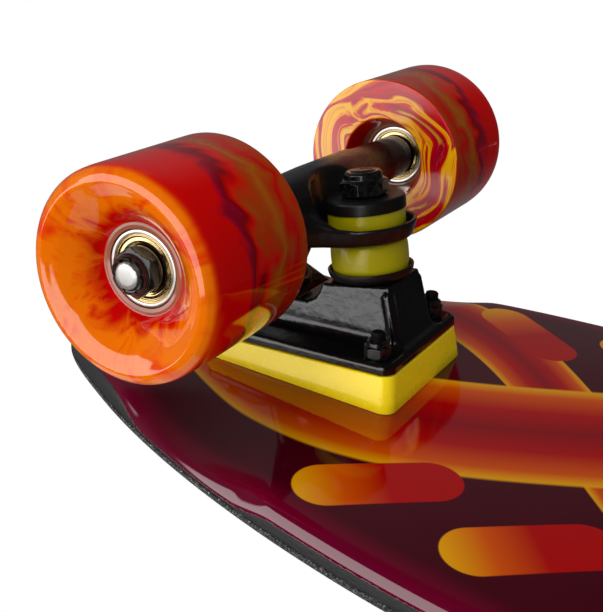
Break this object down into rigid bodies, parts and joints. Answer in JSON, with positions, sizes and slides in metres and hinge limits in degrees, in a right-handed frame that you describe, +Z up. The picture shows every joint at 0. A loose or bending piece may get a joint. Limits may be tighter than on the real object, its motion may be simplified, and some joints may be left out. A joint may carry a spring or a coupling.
{
  "type": "cruiser skateboard",
  "caption": "Short wide cruiser skateboard with kicked nose and tail, wheel wells, wedge risers, sprung steering trucks and soft wheels on ball bearings.",
  "frame": {"origin": "on the ground plane, under the middle of the board's length and width", "axes": "+X toward the nose, +Y to the left of a rider facing the nose, +Z up from the ground"},
  "size_m": [0.7, 0.201, 0.1314],
  "materials": {
    "deck": "gloss lacquer over a printed maroon underside",
    "grip": "coarse black abrasive sheet",
    "riser": "moulded bright yellow, semi-gloss",
    "casting": "cast aluminium painted satin black",
    "hardware": "black oxide steel",
    "bushing": "olive-yellow cast urethane",
    "wheel": "glossy cast urethane, orange marbled with red and yellow",
    "steel": "ground steel with gold-tinted shields"
  },
  "bodies": {
    "board": {"deck": "deck", "grip_tape": "grip", "front_riser_pad": "riser", "front_baseplate": "casting", "front_pivot_cup": "bushing", "front_kingpin": "hardware", "front_boardside_washer": "hardware", "front_boardside_bushing": "bushing", "front_roadside_bushing": "bushing", "front_roadside_washer": "hardware", "front_kingpin_nut": "hardware", "front_bolt_inner_left": "hardware", "front_bolt_inner_right": "hardware", "front_bolt_outer_left": "hardware", "front_bolt_outer_right": "hardware", "front_lock_nut_inner_left": "hardware", "front_lock_nut_inner_right": "hardware", "front_lock_nut_outer_left": "hardware", "front_lock_nut_outer_right": "hardware", "rear_riser_pad": "riser", "rear_baseplate": "casting", "rear_pivot_cup": "bushing", "rear_kingpin": "hardware", "rear_boardside_washer": "hardware", "rear_boardside_bushing": "bushing", "rear_roadside_bushing": "bushing", "rear_roadside_washer": "hardware", "rear_kingpin_nut": "hardware", "rear_bolt_inner_left": "hardware", "rear_bolt_inner_right": "hardware", "rear_bolt_outer_left": "hardware", "rear_bolt_outer_right": "hardware", "rear_lock_nut_inner_left": "hardware", "rear_lock_nut_inner_right": "hardware", "rear_lock_nut_outer_left": "hardware", "rear_lock_nut_outer_right": "hardware"},
    "front_steering_hanger": {"front_hanger": "casting", "front_axle": "steel", "front_left_bearing_sleeve": "steel", "front_left_axle_nut": "hardware", "front_right_bearing_sleeve": "steel", "front_right_axle_nut": "hardware"},
    "rear_steering_hanger": {"rear_hanger": "casting", "rear_axle": "steel", "rear_left_bearing_sleeve": "steel", "rear_left_axle_nut": "hardware", "rear_right_bearing_sleeve": "steel", "rear_right_axle_nut": "hardware"},
    "front_left_roller": {"front_left_wheel": "wheel", "front_left_outboard_bearing": "steel", "front_left_inboard_bearing": "steel"},
    "front_right_roller": {"front_right_wheel": "wheel", "front_right_outboard_bearing": "steel", "front_right_inboard_bearing": "steel"},
    "rear_left_roller": {"rear_left_wheel": "wheel", "rear_left_outboard_bearing": "steel", "rear_left_inboard_bearing": "steel"},
    "rear_right_roller": {"rear_right_wheel": "wheel", "rear_right_outboard_bearing": "steel", "rear_right_inboard_bearing": "steel"}
  },
  "joints": [
    {"name": "front_steer", "type": "hinge", "parent": "board", "child": "front_steering_hanger", "pos_m": [0.26651, 0, 0.06294], "axis": [0.7475, 0, 0.6643], "range_deg": [-12, 12], "stiffness_Nm_per_rad": 45, "deforming": ["front_boardside_bushing", "front_roadside_bushing"]},
    {"name": "rear_steer", "type": "hinge", "parent": "board", "child": "rear_steering_hanger", "pos_m": [-0.19051, 0, 0.06294], "axis": [-0.7475, 0, 0.6643], "range_deg": [-12, 12], "stiffness_Nm_per_rad": 45, "deforming": ["rear_boardside_bushing", "rear_roadside_bushing"]},
    {"name": "front_left_spin", "type": "hinge", "parent": "front_steering_hanger", "child": "front_left_roller", "pos_m": [0.25941, 0.0771, 0.03], "axis": [0, 1, 0], "continuous": true},
    {"name": "front_right_spin", "type": "hinge", "parent": "front_steering_hanger", "child": "front_right_roller", "pos_m": [0.25941, -0.0771, 0.03], "axis": [0, 1, 0], "continuous": true},
    {"name": "rear_left_spin", "type": "hinge", "parent": "rear_steering_hanger", "child": "rear_left_roller", "pos_m": [-0.18341, 0.0771, 0.03], "axis": [0, 1, 0], "continuous": true},
    {"name": "rear_right_spin", "type": "hinge", "parent": "rear_steering_hanger", "child": "rear_right_roller", "pos_m": [-0.18341, -0.0771, 0.03], "axis": [0, 1, 0], "continuous": true}
  ]
}
